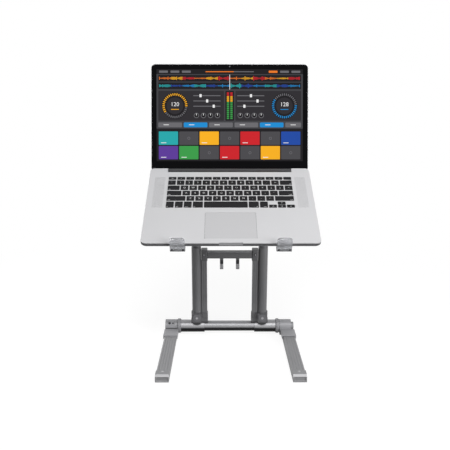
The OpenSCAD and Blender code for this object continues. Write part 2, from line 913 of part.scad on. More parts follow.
// Keys
module key_caps(keys)
{
    color("black") at_laptop() for (key = keys)
        translate([key[0], key[1], key_low]) linear_extrude(key_t) round_rect(key[2], key[3], key_r);
}
module key_holes(keys)
{
    for (key = keys)
        translate([key[0], key[1], base_t - 2 * skin_t]) linear_extrude(3 * skin_t)
            round_rect(key[2] + 2 * key_clearance, key[3] + 2 * key_clearance, key_r + key_clearance);
}
module function_keys() { key_caps(row_keys(5)); }
module number_keys() { key_caps(row_keys(4)); }
module upper_keys() { key_caps(row_keys(3)); }
module home_keys() { key_caps(row_keys(2)); }
module lower_keys() { key_caps(row_keys(1)); }
module modifier_keys() { key_caps(concat(row_keys(0), arrow_keys)); }
module space_bar() { key_caps([space_key]); }

// Lid, drawn as it lies when closed, from the hinge's axis
module lid_plate(inset, z, t)
{
    plate(laptop_w - 2 * inset, inset - lid_len, lid_back - inset, corner_r - inset, z, t);
}
module lid_shell()
{
    edge = 1.2;
    color("silver") at_lid() difference()
    {
        hull()
        {
            lid_plate(0, lid_face, lid_t - edge);
            lid_plate(edge, lid_face + edge, lid_t - edge);
        }
        lid_plate(lid_rim, lid_face - 1, glass_t + panel_t + 1);
    }
}
module lid_glass() { color("black") at_lid() lid_plate(lid_rim, lid_face, glass_t); }
module display_panel()
{
    top = display_rise - lid_len;
    color("darkslateblue") at_lid()
        box([-display_w / 2, top, lid_face + glass_t],
            [display_w / 2, top + display_h, lid_face + glass_t + panel_t]);
}
module hinge_barrel()
{
    web = 3;
    color("black") at_lid() difference()
    {
        union()
        {
            x_rod(-barrel_w / 2, barrel_w / 2, barrel_r);
            box([-barrel_w / 2, -web, 0], [barrel_w / 2, lid_back - 0.4, lid_face]);
        }
        both() x_rod(notch_w / 2 - pin_reach - 0.5, notch_w / 2, pin_r + running_gap);
    }
}

base_crossbar();
crossbar_sleeves();
foot_lock_rings();
foot_axles();
foot_hub_left();
foot_hub_right();
left() foot_bar();  // foot_bar_left
foot_bar();  // foot_bar_right
left() foot_toe();  // foot_toe_left
foot_toe();  // foot_toe_right
left() foot_pads(hub_shift);  // foot_pads_left
foot_pads(0);  // foot_pads_right
left() post_knuckle();  // post_knuckle_left
post_knuckle();  // post_knuckle_right
left() outer_post();  // outer_post_left
outer_post();  // outer_post_right
post_bushes();
left() side_rail();  // side_rail_left
side_rail();  // side_rail_right
brace_brackets();
brace_bar();
left() cable_hook();  // cable_hook_left
cable_hook();  // cable_hook_right
frame_screws();
left() height_knob();  // height_knob_left
height_knob();  // height_knob_right
left() inner_post();  // inner_post_left
inner_post();  // inner_post_right
left() head_tee();  // head_tee_left
head_tee();  // head_tee_right
head_tube();
head_end_caps();
left() arm_hub();  // arm_hub_left
arm_hub();  // arm_hub_right
left() arm();  // arm_left
arm();  // arm_right
arm_pads();
arm_rear_caps();
left() clip();  // clip_left
clip();  // clip_right
left() clip_screws();  // clip_screws_left
clip_screws();  // clip_screws_right
laptop_case();
laptop_bottom();
laptop_feet();
keyboard_tray();
laptop_inside();
hinge_fittings();
trackpad();
function_keys();
number_keys();
upper_keys();
home_keys();
lower_keys();
modifier_keys();
space_bar();
lid_shell();
lid_glass();
display_panel();
hinge_barrel();
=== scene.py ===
import json
import math
import bmesh
import bpy
from mathutils import Matrix, Vector

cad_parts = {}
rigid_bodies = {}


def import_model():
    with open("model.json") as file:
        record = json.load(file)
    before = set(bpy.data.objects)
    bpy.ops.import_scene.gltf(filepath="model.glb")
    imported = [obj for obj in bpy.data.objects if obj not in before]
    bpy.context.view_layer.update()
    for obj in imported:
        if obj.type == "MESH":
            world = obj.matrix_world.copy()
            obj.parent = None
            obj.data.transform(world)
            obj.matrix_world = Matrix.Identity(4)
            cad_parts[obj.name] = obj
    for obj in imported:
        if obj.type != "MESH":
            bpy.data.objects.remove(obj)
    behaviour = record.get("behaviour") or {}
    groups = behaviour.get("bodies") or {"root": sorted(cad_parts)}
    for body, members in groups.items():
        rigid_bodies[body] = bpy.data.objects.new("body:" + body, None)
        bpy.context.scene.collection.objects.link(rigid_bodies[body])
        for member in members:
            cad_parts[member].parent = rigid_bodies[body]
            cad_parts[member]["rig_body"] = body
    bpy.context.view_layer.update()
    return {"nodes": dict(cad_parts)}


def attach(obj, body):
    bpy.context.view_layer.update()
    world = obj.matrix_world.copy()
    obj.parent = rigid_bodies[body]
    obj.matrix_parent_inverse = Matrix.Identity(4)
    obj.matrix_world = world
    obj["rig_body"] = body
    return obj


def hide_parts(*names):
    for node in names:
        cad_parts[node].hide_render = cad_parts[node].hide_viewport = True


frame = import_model()
nodes = frame["nodes"]
mm = 0.001
print("frame loaded,", len(nodes), "nodes")


def moved(x=0.0, y=0.0, z=0.0):  # in mm
    return Matrix.Translation((x * mm, y * mm, z * mm))


def turned(degrees, axis):
    return Matrix.Rotation(math.radians(degrees), 4, axis)


# the part's own frames, as the CAD source gives them: place in mm, lean in degrees
frames = {
    "bar": (0, 92.733, 17.5, 0),           # crossbar's axis
    "post": (0, 92.733, 17.5, 4),          # z runs up the posts
    "deck": (0, -100.629, 258.407, 29.5),  # laptop: y from the front edge, z from the underside
}
lidHinge = {"y": 245.0, "z": 8.2, "open": 130.7, "face": 5.3}
barFrame, postFrame, deckFrame = (moved(x, y, z) @ turned(lean, "X") for x, y, z, lean in frames.values())
lidFrame = (  # y up the screen from the hinge, z out of the glass
    deckFrame
    @ moved(0, lidHinge["y"], lidHinge["z"])
    @ turned(180 - lidHinge["open"], "X")
    @ moved(0, 0, -lidHinge["face"])
)

# camera, at the place that was fitted to the photo: mm and degrees
cameraSettings = {
    "place": (-17.70, -1265.11, 557.67), "down": 12.259, "right": 0.292, "roll": 0.052,
    "lens": 48.393, "sensor": 36.0, "near": 0.05, "far": 50.0,
}


def makeCamera():
    s = cameraSettings
    down, right, roll = (math.radians(s[k]) for k in ("down", "right", "roll"))
    ahead = Vector((math.sin(right) * math.cos(down), math.cos(right) * math.cos(down), -math.sin(down)))
    level = Vector((math.cos(right), -math.sin(right), 0))
    upright = level.cross(ahead)
    side = level * math.cos(roll) + upright * math.sin(roll)
    up = upright * math.cos(roll) - level * math.sin(roll)
    data = bpy.data.cameras.new("viewCamera")
    data.lens = s["lens"]
    data.sensor_width = s["sensor"]
    data.clip_start, data.clip_end = s["near"], s["far"]
    camera = bpy.data.objects.new("viewCamera", data)
    camera.matrix_world = moved(*s["place"]) @ Matrix((side, up, -ahead)).transposed().to_4x4()
    bpy.context.scene.collection.objects.link(camera)
    bpy.context.scene.camera = camera


makeCamera()
print("camera set")


# material nodes
def paint(code):  # a colour as a screen shows it, such as "8c8c8e", in Blender's linear values
    parts = [int(code[i:i + 2], 16) / 255 for i in (0, 2, 4)]
    return tuple(p / 12.92 if p <= 0.04045 else ((p + 0.055) / 1.055) ** 2.4 for p in parts) + (1.0,)


def shiftColour(colour, share):
    return tuple(min(1.0, c * share) for c in colour[:3]) + (1.0,)


def addNode(tree, kind, links=(), **values):
    node = tree.nodes.new(kind)
    for key, value in values.items():
        setattr(node, key, value)
    for socket, source in links:
        if isinstance(source, bpy.types.NodeSocket):
            tree.links.new(source, node.inputs[socket])
        else:
            node.inputs[socket].default_value = source
    return node


def objectCoord(tree):
    return addNode(tree, "ShaderNodeTexCoord").outputs["Object"]


def noise(tree, coord, scale, detail):
    links = [("Vector", coord), ("Scale", scale), ("Detail", detail)]
    return addNode(tree, "ShaderNodeTexNoise", links).outputs["Fac"]


def calc(tree, operation, *values):
    return addNode(tree, "ShaderNodeMath", enumerate(values), operation=operation).outputs[0]


def calcVector(tree, operation, *values):
    return addNode(tree, "ShaderNodeVectorMath", enumerate(values), operation=operation)


def rescale(tree, value, start, end, low=0.0, high=1.0, **more):
    ends = [("From Min", start), ("From Max", end), ("To Min", low), ("To Max", high)]
    return addNode(tree, "ShaderNodeMapRange", [("Value", value)] + ends, **more).outputs[0]


def blend(tree, share, first, second):
    return addNode(tree, "ShaderNodeMix", [(0, share), (6, first), (7, second)], data_type="RGBA").outputs[2]


# finishes: a fine grain and a broad one vary the colour and the roughness
grainSettings = {
    "fineDetail": 3.0, "broad": 14.0, "broadDetail": 4.0,
    "tint": (0.6, 1.4), "dull": (0.3, 0.7), "deep": 0.0002,
}


def makeFinish(name, code, rough, grain, shade, bump, metal=0.0, specular=0.5, stretch=(1, 1, 1),
               roughShift=0.06):
    s = grainSettings
    finish = bpy.data.materials.new(name)
    finish.use_nodes = True
    tree = finish.node_tree
    shader = tree.nodes["Principled BSDF"]
    shader.inputs["Metallic"].default_value = metal
    shader.inputs["Specular IOR Level"].default_value = specular
    colour = paint(code)
    coord = objectCoord(tree)
    drawn = addNode(tree, "ShaderNodeMapping", [("Vector", coord), ("Scale", stretch)]).outputs["Vector"]
    fine = noise(tree, drawn, grain, s["fineDetail"])
    slow = noise(tree, coord, s["broad"], s["broadDetail"])
    tint = rescale(tree, calc(tree, "ADD", fine, slow), *s["tint"])
    shaded = blend(tree, tint, shiftColour(colour, 1 - shade), shiftColour(colour, 1 + shade))
    dull = rescale(tree, slow, *s["dull"], rough - roughShift, rough + roughShift)
    relief = addNode(tree, "ShaderNodeBump", [("Strength", bump), ("Distance", s["deep"]), ("Height", fine)])
    tree.links.new(shaded, shader.inputs["Base Color"])
    tree.links.new(dull, shader.inputs["Roughness"])
    tree.links.new(relief.outputs[0], shader.inputs["Normal"])
    return finish


# what finishes have in common
drawnBar = {"rough": 0.46, "metal": 0.8, "specular": 0.1, "grain": 900, "stretch": (0.02, 1, 1),
            "shade": 0.05, "roughShift": 0.03, "bump": 0.02}
drawnPost = {"rough": 0.45, "metal": 0.15, "grain": 1100, "stretch": (1, 1, 0.02),
             "shade": 0.07, "bump": 0.08}
drawnBrace = {**drawnPost, "stretch": (0.02, 1, 1)}
cast = {"metal": 0.1, "grain": 1600, "shade": 0.08, "bump": 0.2}
steel = {"grain": 1500, "shade": 0.08, "bump": 0.08}
moulded = {"rough": 0.5, "specular": 0.4, "grain": 2000, "shade": 0.1, "bump": 0.2}
soft = {"grain": 2000, "shade": 0.08, "bump": 0.15}
toe = {"grain": 1800, "shade": 0.05}
blasted = {"rough": 0.5, "metal": 0.1, "grain": 2600, "shade": 0.02, "roughShift": 0.04, "bump": 0.07}
finishSettings = {
    "barSilver": {"code": "929294", **drawnBar},
    "sleeveSilver": {"code": "9a9a9c", **drawnBar},
    "postGrey": {"code": "747476", **drawnPost},
    "railGrey": {"code": "7c7c7e", **drawnPost},
    "braceGrey": {"code": "6a6a6c", **drawnBrace},
    # painted highlight on the brace bar's upper front edge
    "rubbedGrey": {"code": "a0a0a2", **drawnBrace},
    "footGrey": {"code": "8e8e90", "rough": 0.56, "metal": 0.1, "grain": 1000, "stretch": (1, 0.02, 1),
                 "shade": 0.05, "bump": 0.04},
    "hookGrey": {"code": "b4b4b6", **cast, "rough": 0.45, "shade": 0.06, "bump": 0.1},
    # painted shade inside the cable hooks
    "softLining": {"code": "444446", **soft, "rough": 0.6, "specular": 0.3},
    "bushGrey": {"code": "626265", **soft, "rough": 0.5},
    "castGrey": {"code": "8c8c8f", **cast, "rough": 0.48},
    "hubGrey": {"code": "98989b", **cast, "rough": 0.45},
    "darkCast": {"code": "68686a", **cast, "rough": 0.5},
    # painted highlight on the toes' brows and buttons
    "browGrey": {"code": "b4b4b6", **toe, "rough": 0.4, "bump": 0.1},
    "toeGrey": {"code": "8a8a8c", **toe, "rough": 0.5, "bump": 0.22},
    "washerGrey": {"code": "707073", **steel, "rough": 0.42, "metal": 0.3},
    "darkSteel": {"code": "3c3c3f", **steel, "rough": 0.38, "metal": 0.8},
    "brightSteel": {"code": "a6a6a8", **steel, "rough": 0.28, "metal": 1.0, "shade": 0.05, "bump": 0.05},
    "blackRubber": {"code": "1c1c1d", "rough": 0.75, "specular": 0.3, "grain": 2200,
                    "shade": 0.15, "bump": 0.3},
    "blackPlastic": {"code": "29292b", **moulded},
    "hingePlastic": {"code": "343436", **moulded, "shade": 0.08, "bump": 0.15},
    "clipClear": {"code": "dedfe2", "rough": 0.12, "roughShift": 0.03, "grain": 500,
                  "shade": 0.03, "bump": 0.02},
    "deckAluminium": {"code": "d2d2d4", **blasted, "rough": 0.62, "metal": 0.04, "specular": 0.2},
    "lidAluminium": {"code": "d0d0d2", **blasted, "rough": 0.62, "metal": 0.06, "specular": 0.2},
    # painted shade on the laptop's rim: darkest at the front, lighter at the sides and in the scoop
    "edgeAluminium": {"code": "444447", **blasted},
    "rimAluminium": {"code": "848487", **blasted},
    "scoopAluminium": {"code": "a3a3a6", **blasted},
    # painted shade: the laptop's bottom is painted darker than its deck
    "underAluminium": {"code": "8a8a8d", **blasted, "metal": 0.2},
    "padGlass": {"code": "c6c6c8", "rough": 0.52, "roughShift": 0.03, "metal": 0.05, "specular": 0.4,
                 "grain": 3000, "shade": 0.015, "bump": 0.03},
    "keyBlack": {"code": "19191b", "rough": 0.6, "specular": 0.2, "grain": 2600,
                 "shade": 0.12, "bump": 0.22},
    "legendWhite": {"code": "e6e6e6", "rough": 0.6, "specular": 0.2, "grain": 3000,
                    "shade": 0.05, "bump": 0.02},
    "screenGlass": {"code": "08080a", "rough": 0.08, "roughShift": 0.03, "specular": 0.04, "grain": 300,
                    "shade": 0.1, "bump": 0.0},
}
finishes = {name: makeFinish(name, **values) for name, values in finishSettings.items()}

clearSettings = {"through": 0.7, "bend": 1.46}


def clearClips():  # the clips are see-through moulded plastic
    shader = finishes["clipClear"].node_tree.nodes["Principled BSDF"]
    shader.inputs["Transmission Weight"].default_value = clearSettings["through"]
    shader.inputs["IOR"].default_value = clearSettings["bend"]


clearClips()

# places and sizes in mm on the deck
speakerHoles = {
    "x": 155.0, "halfWide": 11.5, "y": 162.0, "halfDeep": 53.0,
    "pitch": 1.5, "radius": 0.36, "code": "7c7c7e",
}


def addSpeakerHoles():  # rows of small dark dots in a strip at each side of the keyboard
    s = speakerHoles
    tree = finishes["deckAluminium"].node_tree
    base = tree.nodes["Principled BSDF"].inputs["Base Color"]
    flat = deckFrame.inverted()
    links = [("Vector", objectCoord(tree)), ("Location", flat.translation), ("Rotation", flat.to_euler())]
    deck = addNode(tree, "ShaderNodeMapping", links).outputs["Vector"]
    cut = addNode(tree, "ShaderNodeSeparateXYZ", [(0, deck)])
    across = calc(tree, "COMPARE", calc(tree, "ABSOLUTE", cut.outputs[0]), s["x"] * mm, s["halfWide"] * mm)
    along = calc(tree, "COMPARE", cut.outputs[1], s["y"] * mm, s["halfDeep"] * mm)
    perMetre = 1 / (s["pitch"] * mm)
    cells = calcVector(tree, "MULTIPLY", deck, (perMetre, perMetre, 0)).outputs[0]
    part = calcVector(tree, "FRACTION", cells).outputs[0]
    away = calcVector(tree, "DISTANCE", part, (0.5, 0.5, 0)).outputs["Value"]
    hole = calc(tree, "LESS_THAN", away, s["radius"] / s["pitch"])
    mask = calc(tree, "MULTIPLY", hole, calc(tree, "MULTIPLY", across, along))
    tree.links.new(blend(tree, mask, base.links[0].from_socket, paint(s["code"])), base)


addSpeakerHoles()

# painted shade: the crossbar and the knuckles are painted dark towards their undersides, where shade falls,
# between two levels in mm
paintedUndersideShade = {
    "barSilver": {"from": 19.2, "to": 15.2, "code": "161617", "metal": 0.0},
    "sleeveSilver": {"from": 19.2, "to": 15.2, "code": "161617", "metal": 0.0},
    "darkCast": {"from": 33.5, "to": 29.5, "code": "2a2a2b", "metal": 0.0},
}


# paints the shade: a dark colour and less metal below the levels
def paintShadeBelow(finish, below):
    tree = finish.node_tree
    shader = tree.nodes["Principled BSDF"]
    base, metal = shader.inputs["Base Color"], shader.inputs["Metallic"]
    height = addNode(tree, "ShaderNodeSeparateXYZ", [(0, objectCoord(tree))]).outputs[2]
    levels = (below["from"] * mm, below["to"] * mm)
    share = rescale(tree, height, *levels)
    tree.links.new(blend(tree, share, base.links[0].from_socket, paint(below["code"])), base)
    tree.links.new(rescale(tree, height, *levels, metal.default_value, below["metal"]), metal)


for finishName, below in paintedUndersideShade.items():
    paintShadeBelow(finishes[finishName], below)
print("finishes made:", len(finishes))

# pieces: lengths in metres, angles in degrees
edgeSettings = {"merge": 1e-6, "cut": 1e-7, "flat": 0.4, "rounded": 33, "segments": 2, "crease": 32.0}


def finishPiece(name, bm, body, finishNames):
    mesh = bpy.data.meshes.new(name)
    bm.to_mesh(mesh)
    bm.free()
    for finishName in finishNames:
        mesh.materials.append(finishes[finishName])
    mesh.polygons.foreach_set("use_smooth", [True] * len(mesh.polygons))
    mesh.set_sharp_from_angle(angle=math.radians(edgeSettings["crease"]))
    piece = bpy.data.objects.new(name, mesh)
    bpy.context.scene.collection.objects.link(piece)
    even = piece.modifiers.new("evenShade", "WEIGHTED_NORMAL")
    even.keep_sharp = True
    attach(piece, body)
    return piece


def bodyOf(nodeName):
    return nodes[nodeName]["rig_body"]


def nodeCopy(nodeName):  # a node's mesh, with its loose triangles joined
    bm = bmesh.new()
    bm.from_mesh(nodes[nodeName].data)
    bmesh.ops.remove_doubles(bm, verts=bm.verts, dist=edgeSettings["merge"])
    return bm


def dressNode(nodeName, finishName, slotName, edge):  # a copy of the node with its sharp edges rounded off
    s = edgeSettings
    bm = nodeCopy(nodeName)
    bmesh.ops.dissolve_limit(bm, angle_limit=math.radians(s["flat"]), verts=bm.verts, edges=bm.edges)
    least = math.radians(s["rounded"])
    sharp = [e for e in bm.edges if len(e.link_faces) == 2 and e.calc_face_angle(0) > least]
    if edge and sharp:
        bmesh.ops.bevel(bm, geom=sharp, offset=edge * mm, offset_type="OFFSET", segments=s["segments"],
                        profile=0.5, affect="EDGES", clamp_overlap=True, material=-1)
    words = nodeName.split("_")
    name = words[0] + "".join(w.capitalize() for w in words[1:])
    piece = finishPiece(name, bm, bodyOf(nodeName), [finishName])
    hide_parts(nodeName)
    return piece


# node: finish, the record's slot, rounding of its edges in mm
standDress = {
    "base_crossbar": ("barSilver", "bar_silver", 0.4),
    "crossbar_sleeves": ("sleeveSilver", "sleeve_silver", 0.4),
    "foot_lock_rings": ("castGrey", "fitting_grey", 0.5),
    "foot_axles": ("castGrey", "fitting_grey", 0.6),
    "foot_hub": ("hubGrey", "fitting_grey", 0.7),
    "foot_bar": ("footGrey", "foot_grey", 0.25),
    "foot_toe": ("toeGrey", "fitting_grey", 0.5),
    "foot_pads": ("blackRubber", "black_rubber", 0.3),
    "post_knuckle": ("darkCast", "fitting_grey", 0.7),
    "outer_post": ("postGrey", "post_grey", 0.4),
    "post_bushes": ("bushGrey", "black_plastic", 0.3),
    "side_rail": ("railGrey", "post_grey", 0.2),
    "brace_brackets": ("darkCast", "fitting_grey", 0.6),
    "brace_bar": ("braceGrey", "post_grey", 0.3),
    "cable_hook": ("hookGrey", "fitting_grey", 0.6),
    "frame_screws": ("washerGrey", "dark_steel", 0.4),
    "height_knob": ("blackPlastic", "black_plastic", 0.6),
    "inner_post": ("barSilver", "bar_silver", 0.3),
    "head_tee": ("darkCast", "fitting_grey", 0.6),
    "head_tube": ("barSilver", "bar_silver", 0.3),
    "head_end_caps": ("blackPlastic", "black_plastic", 0.5),
    "arm_hub": ("darkCast", "fitting_grey", 0.6),
    "arm": ("postGrey", "post_grey", 0.3),
    "arm_pads": ("blackRubber", "black_rubber", 0.4),
    "arm_rear_caps": ("blackPlastic", "black_plastic", 0.5),
    "clip": ("clipClear", "clip_clear", 0.7),
    "clip_screws": ("darkSteel", "dark_steel", 0.3),
}
laptopDress = {
    "laptop_case": ("deckAluminium", "laptop_aluminium", 0.25),
    "laptop_bottom": ("underAluminium", "laptop_aluminium", 0.3),
    "laptop_feet": ("blackRubber", "black_rubber", 0.3),
    "keyboard_tray": ("blackPlastic", "black_plastic", 0.0),
    "laptop_inside": ("blackPlastic", "black_plastic", 0.3),
    "hinge_fittings": ("blackPlastic", "black_plastic", 0.2),
    "hinge_barrel": ("hingePlastic", "black_plastic", 0.3),
    "trackpad": ("padGlass", "trackpad_glass", 0.12),
    "function_keys": ("keyBlack", "key_black", 0.25),
    "number_keys": ("keyBlack", "key_black", 0.25),
    "upper_keys": ("keyBlack", "key_black", 0.25),
    "home_keys": ("keyBlack", "key_black", 0.25),
    "lower_keys": ("keyBlack", "key_black", 0.25),
    "modifier_keys": ("keyBlack", "key_black", 0.25),
    "space_bar": ("keyBlack", "key_black", 0.25),
    "lid_shell": ("lidAluminium", "laptop_aluminium", 0.3),
    "lid_glass": ("screenGlass", "screen_glass", 0.2),
    "display_panel": ("blackPlastic", "display", 0.2),
}
dress = {**standDress, **laptopDress}
dressed = {}
for nodeName in nodes:
    plain = nodeName.replace("_left", "").replace("_right", "")
    dressed[nodeName] = dressNode(nodeName, *dress[plain])
print("nodes dressed:", len(dressed))


# second finishes on some faces of the dressed nodes, with levels in mm
def cutAcross(piece, place, level):  # a cut round a piece, so that its two sides can differ in finish
    bm = bmesh.new()
    bm.from_mesh(piece.data)
    bmesh.ops.bisect_plane(bm, geom=[*bm.verts, *bm.edges, *bm.faces], dist=edgeSettings["cut"],
                           plane_co=place @ Vector((0, 0, level * mm)),
                           plane_no=place.to_3x3() @ Vector((0, 0, 1)))
    bm.to_mesh(piece.data)
    bm.free()


def addFinish(piece, finishName):  # gives the new finish's index on the piece
    piece.data.materials.append(finishes[finishName])
    return len(piece.data.materials) - 1


def facesIn(piece, place):  # each face, its middle in mm and the way it faces, in a frame of the part
    back = place.inverted()
    for face in piece.data.polygons:
        yield face, back @ face.center / mm, back.to_3x3() @ face.normal


# the bolts through the knuckles are bright and their washers grey; the bracket screws are dark
boltSettings = {"x": 76.8, "level": 27.0, "radius": 3.0, "bracket": 100.0}


def brightenBolts():
    s = boltSettings
    screws = dressed["frame_screws"]
    bright, dark = addFinish(screws, "brightSteel"), addFinish(screws, "darkSteel")
    back = postFrame.inverted()
    for face in screws.data.polygons:
        spots = [back @ screws.data.vertices[i].co / mm for i in face.vertices]
        if max(math.hypot(abs(spot.x) - s["x"], spot.z - s["level"]) for spot in spots) < s["radius"]:
            face.material_index = bright
        if spots[0].z > s["bracket"]:
            face.material_index = dark


brightenBolts()

# painted shade: the inside of each cable hook is painted dark up to a level, where its curled tip shades it,
# and a darker grey above it, where the brace shades it
hookShadeSettings = {"level": 163.6, "inward": 0.5}


def paintHookShade():
    s = hookShadeSettings
    back = postFrame.inverted()
    for side in ("left", "right"):
        hook = dressed["cable_hook_" + side]
        cutAcross(hook, postFrame, s["level"])
        shadeLow, grey = addFinish(hook, "softLining"), addFinish(hook, "postGrey")
        spots = [back @ v.co / mm for v in hook.data.vertices]
        middle = sum(spot.y for spot in spots) / len(spots)
        for face, spot, facing in facesIn(hook, postFrame):
            toMiddle = middle - spot.y
            inward = facing.y * toMiddle > s["inward"] * abs(toMiddle)
            if inward and abs(facing.x) < s["inward"]:
                face.material_index = shadeLow if spot.z < s["level"] else grey


paintHookShade()

# painted highlight: the rounded upper front edge of the brace bar is painted lighter, where it catches the
# light
braceHighlightSettings = {"level": 184.8, "slant": 0.2}


def paintBraceHighlight():
    s = braceHighlightSettings
    brace = dressed["brace_bar"]
    highlightIndex = addFinish(brace, "rubbedGrey")
    for face, spot, facing in facesIn(brace, postFrame):
        if spot.z > s["level"] and facing.y < -s["slant"] and facing.z > s["slant"]:
            face.material_index = highlightIndex


paintBraceHighlight()

# painted highlight: the slanted brow and the button of each toe are painted lighter than the rest, where they
# face the light
toeHighlightSettings = {"slant": 0.3, "flat": 0.97, "top": 16.8}


def paintToeHighlights():
    s = toeHighlightSettings
    for side in ("left", "right"):
        cap = dressed["foot_toe_" + side]
        brow = addFinish(cap, "browGrey")
        for face, spot, facing in facesIn(cap, Matrix.Identity(4)):
            slanted = s["slant"] < facing.z < s["flat"] and facing.y < -s["slant"]
            if slanted or spot.z > s["top"]:
                face.material_index = brow


paintToeHighlights()

# painted shade: the laptop's rim is painted darker than its deck, where it faces away from the light, darkest
# at the front and a middle shade in the finger scoop; its sockets are black inside
rimSettings = {
    "wide": 358.9, "deep": 247.1, "round": 10.0, "within": 0.6, "level": 10.3, "upright": 0.35,
    "square": 0.9, "socket": 176.45, "socketNear": 0.2, "scoop": 24.2, "scoopFrom": 0.1, "scoopTo": 1.6,
}


def fromCore(spot):  # distance from the case's core: the corner radius all along its outline
    s = rimSettings
    wide = max(0.0, abs(spot.x) - (s["wide"] / 2 - s["round"]))
    deep = max(0.0, abs(spot.y - s["deep"] / 2) - (s["deep"] / 2 - s["round"]))
    return math.hypot(wide, deep)


def paintRimShade():
    s = rimSettings
    case = dressed["laptop_case"]
    cutAcross(case, deckFrame, s["level"])
    names = ("edgeAluminium", "blackPlastic", "scoopAluminium", "rimAluminium")
    front, socket, scoop, rim = [addFinish(case, name) for name in names]
    for face, spot, facing in facesIn(case, deckFrame):
        onRim = fromCore(spot) > s["round"] - s["within"]
        if onRim and abs(facing.z) < s["upright"] and spot.z < s["level"]:
            face.material_index = front if spot.y < s["round"] else rim
        if abs(facing.x) > s["square"] and abs(abs(spot.x) - s["socket"]) < s["socketNear"]:
            face.material_index = socket
        inScoop = abs(spot.x) < s["scoop"] and s["scoopFrom"] < spot.y < s["scoopTo"]
        if inScoop and facing.y < -s["square"]:
            face.material_index = scoop


paintRimShade()
print("second finishes set")


# simple shapes, in mm about the middle of a place
def markFaces(verts, index):
    for face in {f for v in verts for f in v.link_faces}:
        face.material_index = index


def addBlock(bm, place, size, index=0):
    wide, deep, tall = (v * mm for v in size)
    made = bmesh.ops.create_cube(bm, size=1.0, matrix=place @ Matrix.Diagonal((wide, deep, tall, 1)))
    markFaces(made["verts"], index)
    return made["verts"]


def addRod(bm, place, radius, long, sides, taper=1.0, index=0):
    made = bmesh.ops.create_cone(bm, cap_ends=True, segments=sides, radius1=radius * mm,
                                 radius2=radius * taper * mm, depth=long * mm, matrix=place)
    markFaces(made["verts"], index)


def addText(bm, words, size, place, thick, index=0, align="CENTER"):
    curve = bpy.data.curves.new("words", "FONT")
    curve.body = words
    curve.size = size * mm
    curve.extrude = thick * mm / 2
    curve.resolution_u = 3
    curve.align_x, curve.align_y = align, "CENTER"
    holder = bpy.data.objects.new("words", curve)
    bpy.context.scene.collection.objects.link(holder)
    bpy.context.view_layer.update()
    mesh = bpy.data.meshes.new_from_object(holder.evaluated_get(bpy.context.evaluated_depsgraph_get()))
    mesh.transform(place)
    mesh.polygons.foreach_set("material_index", [index] * len(mesh.polygons))
    bm.from_mesh(mesh)
    bpy.data.objects.remove(holder)
    bpy.data.curves.remove(curve)
    bpy.data.meshes.remove(mesh)


# keyboard legends: sizes in mm, the words of each row from left to right
legendSettings = {
    "letter": 6.6, "word": 3.4, "small": 3.0, "arrow": 1.5, "arrowSides": 3,
    "side": 2.0, "low": 2.6, "thick": 0.03, "rise": 0.01,
}
legendRows = {
    "function_keys": ["esc"] + ["f%d" % i for i in range(1, 13)] + [""],
    "number_keys": list("`1234567890-=") + ["del"],
    "upper_keys": ["tab"] + list("QWERTYUIOP[]\\"),
    "home_keys": ["caps"] + list("ASDFGHJKL;'") + ["enter"],
    "lower_keys": ["shift"] + list("ZXCVBNM,./") + ["shift"],
    "modifier_keys": ["fn", "ctrl", "meta", "alt", "alt", "meta", "left", "down", "up", "right"],
}
arrowTurns = {"up": 0, "left": 90, "down": 180, "right": -90}


def islandBoxes(nodeName, place):  # the box of each loose solid of a node, in a frame of the part
    bm = nodeCopy(nodeName)
    bm.transform(place.inverted())
    waiting, boxes = set(bm.verts), []
    while waiting:
        group = [waiting.pop()]
        for vert in group:
            for edge in vert.link_edges:
                other = edge.other_vert(vert)
                if other in waiting:
                    waiting.discard(other)
                    group.append(other)
        boxes.append([(min(v.co[i] for v in group), max(v.co[i] for v in group)) for i in range(3)])
    bm.free()
    return sorted(boxes, key=lambda b: (round(sum(b[0]), 4), sum(b[1])))


def makeLegends(nodeName, words):
    s = legendSettings
    bm = bmesh.new()
    for (xs, ys, zs), word in zip(islandBoxes(nodeName, deckFrame), words):
        top = zs[1] + s["rise"] * mm
        middle = Matrix.Translation((sum(xs) / 2, sum(ys) / 2, top))
        low = ys[0] + s["low"] * mm
        if word in arrowTurns:
            place = middle @ turned(arrowTurns[word], "Z")
            addRod(bm, place, s["arrow"], s["thick"], s["arrowSides"])
        elif len(word) == 1:
            addText(bm, word, s["letter"], middle, s["thick"])
        elif nodeName == "function_keys" and word:
            addText(bm, word, s["small"], middle, s["thick"])
        elif word and sum(xs) < 0:
            corner = Matrix.Translation((xs[0] + s["side"] * mm, low, top))
            addText(bm, word, s["word"], corner, s["thick"], align="LEFT")
        elif word:
            corner = Matrix.Translation((xs[1] - s["side"] * mm, low, top))
            addText(bm, word, s["word"], corner, s["thick"], align="RIGHT")
    bm.transform(deckFrame)
    name = "legends" + nodeName.split("_")[0].capitalize()
    piece = finishPiece(name, bm, bodyOf(nodeName), ["legendWhite"])


for nodeName, words in legendRows.items():
    makeLegends(nodeName, words)
print("legends drawn on", len(legendRows), "rows")

# the picture on the screen: a mixing program of this part's own plain design, in mm from its lower left
screenSettings = {"wide": 334.0, "bottom": 22.0, "step": 0.03, "thick": 0.03}
screenLevels = {"back": 0.6, "panel": 1.6, "control": 2.6, "mark": 3.6, "top": 4.6}
screenCodes = {
    "back": "414144", "deep": "1b191b", "panel": "2d2b2e", "pad": "4a494c", "line": "6a696d",
    "white": "eeeeee", "red": "cc2027", "amber": "f7b01c", "blue": "1f4aa4", "purple": "5c3a98",
    "teal": "25a8ab", "green": "3a9a48", "bright": "1b8bd0", "orange": "ee7a22",
}
litSettings = {
    "dark": (0.004, 0.004, 0.005, 1), "specular": 0.06, "strength": 1.0,
    "glow": 9.0, "glowDetail": 1.0, "shade": (0.94, 1.04), "rough": (0.06, 0.12),
}
screenNames = list(screenCodes)


